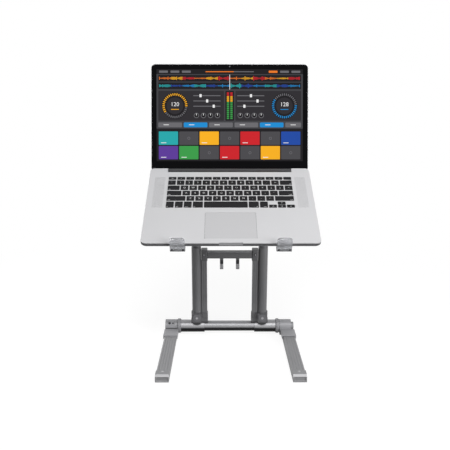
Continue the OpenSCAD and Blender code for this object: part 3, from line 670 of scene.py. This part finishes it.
def makeLit(name, code):  # a colour of the lit screen, under glossy glass
    s = litSettings
    finish = bpy.data.materials.new(name)
    finish.use_nodes = True
    tree = finish.node_tree
    shader = tree.nodes["Principled BSDF"]
    shader.inputs["Base Color"].default_value = s["dark"]
    shader.inputs["Specular IOR Level"].default_value = s["specular"]
    shader.inputs["Emission Strength"].default_value = s["strength"]
    glow = noise(tree, objectCoord(tree), s["glow"], s["glowDetail"])
    colours = [shiftColour(paint(code), share) for share in s["shade"]]
    tree.links.new(blend(tree, glow, *colours), shader.inputs["Emission Color"])
    tree.links.new(rescale(tree, glow, 0.0, 1.0, *s["rough"]), shader.inputs["Roughness"])
    return finish


def litName(colourName):
    return "screen" + colourName.capitalize()


for colourName, code in screenCodes.items():
    finishes[litName(colourName)] = makeLit(litName(colourName), code)


def onScreen(x, y, level):
    return moved(x, y, screenSettings["step"] * screenLevels[level])


def addTile(bm, x, y, wide, tall, level, colourName, corner=0.0):
    place = onScreen(x + wide / 2, y + tall / 2, level)
    verts = addBlock(bm, place, (wide, tall, screenSettings["thick"]), screenNames.index(colourName))
    if corner:
        edges = {e for v in verts for e in v.link_edges}
        upright = [e for e in edges if abs((e.verts[0].co - e.verts[1].co).z) > edgeSettings["merge"]]
        bmesh.ops.bevel(bm, geom=upright, offset=corner * mm, offset_type="OFFSET", segments=4, profile=0.5,
                        affect="EDGES", material=-1)


def addDisc(bm, x, y, radius, level, colourName, sides=40):
    place, index = onScreen(x, y, level), screenNames.index(colourName)
    addRod(bm, place, radius, screenSettings["thick"], sides, index=index)


def screenPiece(name, bm):
    bm.transform(lidFrame @ moved(-screenSettings["wide"] / 2, screenSettings["bottom"], 0))
    bmesh.ops.recalc_face_normals(bm, faces=bm.faces)
    piece = finishPiece(name, bm, "laptop_lid", [litName(colourName) for colourName in screenNames])


panelTiles = [  # x, y, wide, tall, level, colour, corner
    (0, 0, 334, 209, "back", "back", 0),
    (0, 198, 334, 11, "panel", "deep", 0),      # heading strip
    (4, 181, 326, 15, "panel", "deep", 1.2),    # two sound lanes
    (4, 164, 326, 15, "panel", "deep", 1.2),
    (4, 92, 150, 68, "panel", "panel", 2),      # two decks
    (180, 92, 150, 68, "panel", "panel", 2),
    (157, 92, 20, 68, "panel", "deep", 2),      # meters between them
    (0, 0, 334, 74, "panel", "deep", 0),        # pads
]


def screenPanels():
    bm = bmesh.new()
    for tile in panelTiles:
        addTile(bm, *tile)
    screenPiece("screenPanels", bm)


laneSettings = {
    "lanes": ((188.5, ("orange", "amber", "red")), (171.5, ("bright", "teal", "blue"))),  # middle, colours
    "bars": 132, "x": 6, "pitch": 2.44, "wide": 1.5, "least": 2.0, "most": 12.5, "sameColour": 11,
    "run": 0.37, "rowShift": 2.1, "swell": 5.0, "swellRun": 0.23,
    "beat": 4.5, "beatEvery": 8, "beatShift": 3, "beatRun": 0.11,
    "needle": (166.4, 163, 1.2, 34),
}


def screenLanes():
    s = laneSettings
    bm = bmesh.new()
    for row, (middle, colours) in enumerate(s["lanes"]):
        for i in range(s["bars"]):
            t = i * s["run"] + row * s["rowShift"]
            tall = s["least"] + s["swell"] * abs(math.sin(t) * math.sin(t * s["swellRun"] + row))
            if i % s["beatEvery"] == row * s["beatShift"]:
                tall += s["beat"] * abs(math.cos(t * s["beatRun"]))
            tall = min(tall, s["most"])
            colourName = colours[(i // s["sameColour"] + row) % len(colours)]
            addTile(bm, s["x"] + i * s["pitch"], middle - tall / 2, s["wide"], tall, "control", colourName)
    addTile(bm, *s["needle"], "mark", "white")
    screenPiece("screenLanes", bm)


padSettings = {
    "rows": (("teal", "pad", "amber", "pad", "red", "pad", "blue"),
             ("purple", "green", "pad", "red", "pad", "amber", "pad")),
    "x": 5, "pitch": 46.6, "y": 37, "drop": 33, "wide": 44, "tall": 30.5, "corner": 1.5,
    "ring": (22, 15), "ringOut": 3.2, "ringIn": 2.2, "dash": (5, 4), "dashSize": (12, 1.4),
}
tabSettings = {
    "y": 77, "tall": 11, "corner": 2, "dash": (12, 5), "dashSize": (12, 1.4),
    "tabs": ((4, 54, "line"), (62, 54, "bright"), (120, 54, "line"),  # x, wide, colour
             (178, 54, "line"), (236, 54, "bright"), (294, 36, "line")),
}


def addPad(bm, x, y, colourName):
    s = padSettings
    addTile(bm, x, y, s["wide"], s["tall"], "control", colourName, s["corner"])
    if colourName == "pad":  # an empty one has a ring
        addDisc(bm, x + s["ring"][0], y + s["ring"][1], s["ringOut"], "mark", "line")
        addDisc(bm, x + s["ring"][0], y + s["ring"][1], s["ringIn"], "top", "pad")
    else:
        addTile(bm, x + s["dash"][0], y + s["dash"][1], *s["dashSize"], "mark", "white")


def screenPads():
    s = padSettings
    bm = bmesh.new()
    for row, colours in enumerate(s["rows"]):
        for i, colourName in enumerate(colours):
            addPad(bm, s["x"] + i * s["pitch"], s["y"] - row * s["drop"], colourName)
    s = tabSettings
    for x, wide, colourName in s["tabs"]:
        addTile(bm, x, s["y"], wide, s["tall"], "control", colourName, s["corner"])
        addTile(bm, x + s["dash"][0], s["y"] + s["dash"][1], *s["dashSize"], "mark", "white")
    screenPiece("screenPads", bm)


dialSettings = {
    "dials": ((42, 1, "amber", "120"), (292, -1, "bright", "128")),  # x, way round, colour, number
    "y": 126, "radius": 30, "sides": 64, "inner": 19, "innerSides": 48,
    "ticks": 36, "lit": 22, "tickAt": 26, "tick": (5, 2.2),
    "number": 13, "numberY": 129, "dash": (18, 1.6), "dashY": 117,
}


def screenDials():
    s = dialSettings
    thick = screenSettings["thick"]
    bm = bmesh.new()
    for x, way, colourName, number in s["dials"]:
        addDisc(bm, x, s["y"], s["radius"], "control", "deep", s["sides"])
        for i in range(s["ticks"]):
            lit = colourName if i * way % s["ticks"] < s["lit"] else "line"
            place = onScreen(x, s["y"], "mark") @ turned(360 / s["ticks"] * i, "Z") @ moved(s["tickAt"])
            addBlock(bm, place, (*s["tick"], thick), screenNames.index(lit))
        addDisc(bm, x, s["y"], s["inner"], "mark", "panel", s["innerSides"])
        spot = onScreen(x, s["numberY"], "top")
        addText(bm, number, s["number"], spot, thick, screenNames.index("white"))
        addTile(bm, x - s["dash"][0] / 2, s["dashY"], *s["dash"], "top", colourName)
    screenPiece("screenDials", bm)


sliderSettings = {
    "starts": (84, 184), "count": 3, "y": 148, "drop": 12, "size": (62, 2),
    "gripX": 14, "gripStep": 15, "gripY": -2.5, "grip": (5, 7), "corner": 1,
}
smallKnobSettings = {
    "count": 4, "x": 7, "pitch": 16, "y": 104, "radius": 6, "inner": 4.6, "sides": 32, "hand": (1.2, 4.4),
}
meterSettings = {
    "xs": (160.5, 168.5), "y": 96, "steps": 14, "pitch": 4.4, "size": (5, 3.2), "amberOver": 8, "redOver": 11,
}
headingSettings = {
    "xs": (6, 256), "count": 3, "pitch": 26, "y": 201, "size": (20, 5), "corner": 1,
    "bar": (112, 202.5), "barSize": (110, 2), "barDone": (64, 2),
}


def addSliders(bm, side, start):
    s = sliderSettings
    for i in range(s["count"]):
        y = s["y"] - i * s["drop"]
        addTile(bm, start, y, *s["size"], "control", "line")
        x = start + s["gripX"] + s["gripStep"] * ((i + side) % s["count"])
        addTile(bm, x, y + s["gripY"], *s["grip"], "mark", "white", s["corner"])


def addSmallKnobs(bm, start):
    s = smallKnobSettings
    for i in range(s["count"]):
        x = start + s["x"] + i * s["pitch"]
        addDisc(bm, x, s["y"], s["radius"], "control", "line", s["sides"])
        addDisc(bm, x, s["y"], s["inner"], "mark", "deep", s["sides"])
        addTile(bm, x - s["hand"][0] / 2, s["y"], *s["hand"], "top", "white")


def addMeters(bm):
    s = meterSettings
    for x in s["xs"]:
        for i in range(s["steps"]):
            colourName = "red" if i > s["redOver"] else "amber" if i > s["amberOver"] else "green"
            addTile(bm, x, s["y"] + i * s["pitch"], *s["size"], "control", colourName)


def addHeading(bm):
    s = headingSettings
    left, right = s["xs"]
    for i in range(s["count"]):
        addTile(bm, left + i * s["pitch"], s["y"], *s["size"], "control", "line", s["corner"])
        colourName = "line" if i else "orange"
        addTile(bm, right + i * s["pitch"], s["y"], *s["size"], "control", colourName, s["corner"])
    addTile(bm, *s["bar"], *s["barSize"], "control", "line")
    addTile(bm, *s["bar"], *s["barDone"], "mark", "orange")


def screenControls():
    bm = bmesh.new()
    for side, start in enumerate(sliderSettings["starts"]):
        addSliders(bm, side, start)
        addSmallKnobs(bm, start)
    addMeters(bm)
    addHeading(bm)
    screenPiece("screenControls", bm)


for make in (screenPanels, screenLanes, screenPads, screenDials, screenControls):
    make()
print("screen picture made")

# small parts, in mm
screwSettings = {"sides": 24, "taper": 0.86, "drive": 0.55, "driveSides": 6, "driveDeep": 0.06}


def addScrew(bm, place, radius, head, drive=screwSettings["drive"]):  # head along +z of place
    s = screwSettings
    addRod(bm, place @ moved(z=head / 2), radius, head, s["sides"], taper=s["taper"])
    addRod(bm, place @ moved(z=head), radius * drive, s["driveDeep"], s["driveSides"], index=1)


# x, radius and head of each screw
hubScrewSettings = {"lean": 45.0, "depth": 13.75, "screws": ((-141.5, 3.0, 1.0), (-133.5, 1.9, 0.6))}


def hubScrews():
    s = hubScrewSettings
    bm = bmesh.new()
    for x, radius, head in s["screws"]:
        addScrew(bm, barFrame @ moved(x) @ turned(90 - s["lean"], "X") @ moved(z=s["depth"]), radius, head)
    piece = finishPiece("hubScrews", bm, "left_foot", ["darkSteel", "blackPlastic"])


creaseShadowSettings = {"from": -151.0, "to": -124.5, "y": -15.2, "z": -1.3, "radius": 1.2, "sides": 12}


def hubSeal():  # painted shadow: a dark strip in the crease under the left hub, where shade falls
    s = creaseShadowSettings
    bm = bmesh.new()
    place = barFrame @ moved((s["from"] + s["to"]) / 2, s["y"], s["z"]) @ turned(90, "Y")
    addRod(bm, place, s["radius"], s["to"] - s["from"], s["sides"])
    piece = finishPiece("hubSeal", bm, "left_foot", ["blackPlastic"])


knobSettings = {
    "x": 76.8, "level": 187.0, "radius": 8.0, "from": 15.2, "to": 22.4,
    "ribs": 22, "rib": 1.1, "proud": 0.35,
}


def knobRibs():
    s = knobSettings
    for sign, body in ((-1, "left_knob"), (1, "right_knob")):
        bm = bmesh.new()
        for i in range(s["ribs"]):
            place = postFrame @ moved(sign * s["x"], 0, s["level"]) @ turned(360 * i / s["ribs"], "Y")
            place = place @ moved(s["radius"], (s["from"] + s["to"]) / 2, 0)
            addBlock(bm, place, (2 * s["proud"], s["to"] - s["from"], s["rib"]))
        piece = finishPiece("knobRibs" + body.split("_")[0].capitalize(), bm, body, ["blackRubber"])


seamSettings = {"x": 65.75, "wide": 0.9, "y": -2.4, "deep": 1.0, "from": 38.0, "to": 165.0}


def railSeams():  # a strip closes the slit between a post and its rail
    s = seamSettings
    bm = bmesh.new()
    for sign in (-1, 1):
        place = postFrame @ moved(sign * s["x"], s["y"], (s["from"] + s["to"]) / 2)
        addBlock(bm, place, (s["wide"], s["deep"], s["to"] - s["from"]))
    piece = finishPiece("railSeams", bm, "stand_frame", ["railGrey"])


buttonSettings = {"x": 58.8, "y": -8.7, "level": 180.75, "radius": 1.5, "head": 0.4, "drive": 0.4}


def bracketButtons():  # the bright middles of the bracket screws
    s = buttonSettings
    bm = bmesh.new()
    for sign in (-1, 1):
        place = postFrame @ moved(sign * s["x"], s["y"], s["level"]) @ turned(90, "X")
        addScrew(bm, place, s["radius"], s["head"], s["drive"])
    piece = finishPiece("bracketButtons", bm, "stand_frame", ["brightSteel", "darkSteel"])


lensSettings = {"y": 237.2, "z": 0.02, "radius": 1.6, "taper": 0.8, "thick": 0.06, "sides": 24}


def cameraLens():
    s = lensSettings
    bm = bmesh.new()
    addRod(bm, lidFrame @ moved(0, s["y"], s["z"]), s["radius"], s["thick"], s["sides"], taper=s["taper"])
    piece = finishPiece("cameraLens", bm, "laptop_lid", ["darkSteel"])


bottomScrewSettings = {
    "radius": 2.2, "head": 0.25, "sunk": 0.1,
    "places": [(-166, 20), (166, 20), (-60, 16), (60, 16), (0, 16), (-166, 120), (166, 120),
               (-152, 226), (152, 226), (-60, 220), (60, 220)],
}


def bottomScrews():
    s = bottomScrewSettings
    bm = bmesh.new()
    for x, y in s["places"]:
        addScrew(bm, deckFrame @ moved(x, y, s["sunk"]) @ turned(180, "X"), s["radius"], s["head"])
    piece = finishPiece("bottomScrews", bm, "laptop_base", ["darkSteel", "blackPlastic"])


for make in (hubScrews, hubSeal, knobRibs, railSeams, bracketButtons, cameraLens, bottomScrews):
    make()
print("small parts made")

# stage: floor, room and lamps, in metres
stageSettings = {
    "size": 9.0, "level": -0.0003, "own": 0.86, "shade": "808080", "bounce": "484848",
    "fade": (0.35, 1.1), "room": 0.1,
}
lampSettings = {
    "key": {"place": (0.15, -1.75, 2.15), "aim": (0, 0.05, 0.2), "wide": 1.2, "tall": 0.6, "power": 43.0},
    "side": {"place": (1.9, -1.35, 0.75), "aim": (0, 0.05, 0.25), "wide": 1.2, "tall": 1.2, "power": 36.0},
    "back": {"place": (-1.9, 1.8, 0.9), "aim": (0, 0.05, 0.3), "wide": 1.2, "tall": 1.2, "power": 40.0},
}
pureWhite = (1, 1, 1, 1)


def seenRays(tree):  # camera, mirror and see-through rays meet the white background
    path = addNode(tree, "ShaderNodeLightPath").outputs
    straight = calc(tree, "MAXIMUM", path["Is Camera Ray"], path["Is Glossy Ray"])
    return calc(tree, "MAXIMUM", straight, path["Is Transmission Ray"])


def mixShaders(tree, share, first, second):
    links = [(0, share), (1, first.outputs[0]), (2, second.outputs[0])]
    return addNode(tree, "ShaderNodeMixShader", links)


def makeFloor():  # holds the shadow near the part and fades to white away from it
    s = stageSettings
    finish = bpy.data.materials.new("floorPale")
    finish.use_nodes = True
    tree = finish.node_tree
    tree.nodes.remove(tree.nodes["Principled BSDF"])
    lit = addNode(tree, "ShaderNodeBsdfDiffuse", [("Color", paint(s["shade"]))])
    own = addNode(tree, "ShaderNodeEmission", [("Color", pureWhite), ("Strength", s["own"])])
    near = addNode(tree, "ShaderNodeAddShader", [(0, lit.outputs[0]), (1, own.outputs[0])])
    far = addNode(tree, "ShaderNodeEmission", [("Color", pureWhite), ("Strength", 1.0)])
    away = calcVector(tree, "LENGTH", objectCoord(tree)).outputs["Value"]
    seen = mixShaders(tree, rescale(tree, away, *s["fade"], interpolation_type="SMOOTHSTEP"), near, far)
    plain = addNode(tree, "ShaderNodeBsdfDiffuse", [("Color", paint(s["bounce"]))])
    surface = mixShaders(tree, seenRays(tree), plain, seen)
    tree.links.new(surface.outputs[0], tree.nodes["Material Output"].inputs["Surface"])
    bm = bmesh.new()
    level = Matrix.Translation((0, 0, s["level"]))
    bmesh.ops.create_grid(bm, x_segments=2, y_segments=2, size=s["size"], matrix=level)
    mesh = bpy.data.meshes.new("floor")
    bm.to_mesh(mesh)
    bm.free()
    mesh.materials.append(finish)
    floor = bpy.data.objects.new("floor", mesh)
    bpy.context.scene.collection.objects.link(floor)


def makeRoom():
    world = bpy.data.worlds.new("room")
    bpy.context.scene.world = world
    world.use_nodes = True
    tree = world.node_tree
    dim = tree.nodes["Background"]
    dim.inputs["Color"].default_value = pureWhite
    dim.inputs["Strength"].default_value = stageSettings["room"]
    bright = addNode(tree, "ShaderNodeBackground", [("Color", pureWhite), ("Strength", 1.0)])
    surface = mixShaders(tree, seenRays(tree), dim, bright)
    tree.links.new(surface.outputs[0], tree.nodes["World Output"].inputs["Surface"])


def makeLamps():
    for name, s in lampSettings.items():
        data = bpy.data.lights.new(name + "Lamp", "AREA")
        data.shape = "RECTANGLE"
        data.size, data.size_y = s["wide"], s["tall"]
        data.energy = s["power"]
        lamp = bpy.data.objects.new(name + "Lamp", data)
        lamp.location = s["place"]
        lamp.rotation_euler = (Vector(s["aim"]) - Vector(s["place"])).to_track_quat("-Z", "Y").to_euler()
        bpy.context.scene.collection.objects.link(lamp)


makeFloor()
makeRoom()
makeLamps()
bpy.context.scene.view_settings.view_transform = "Standard"
print("stage set")
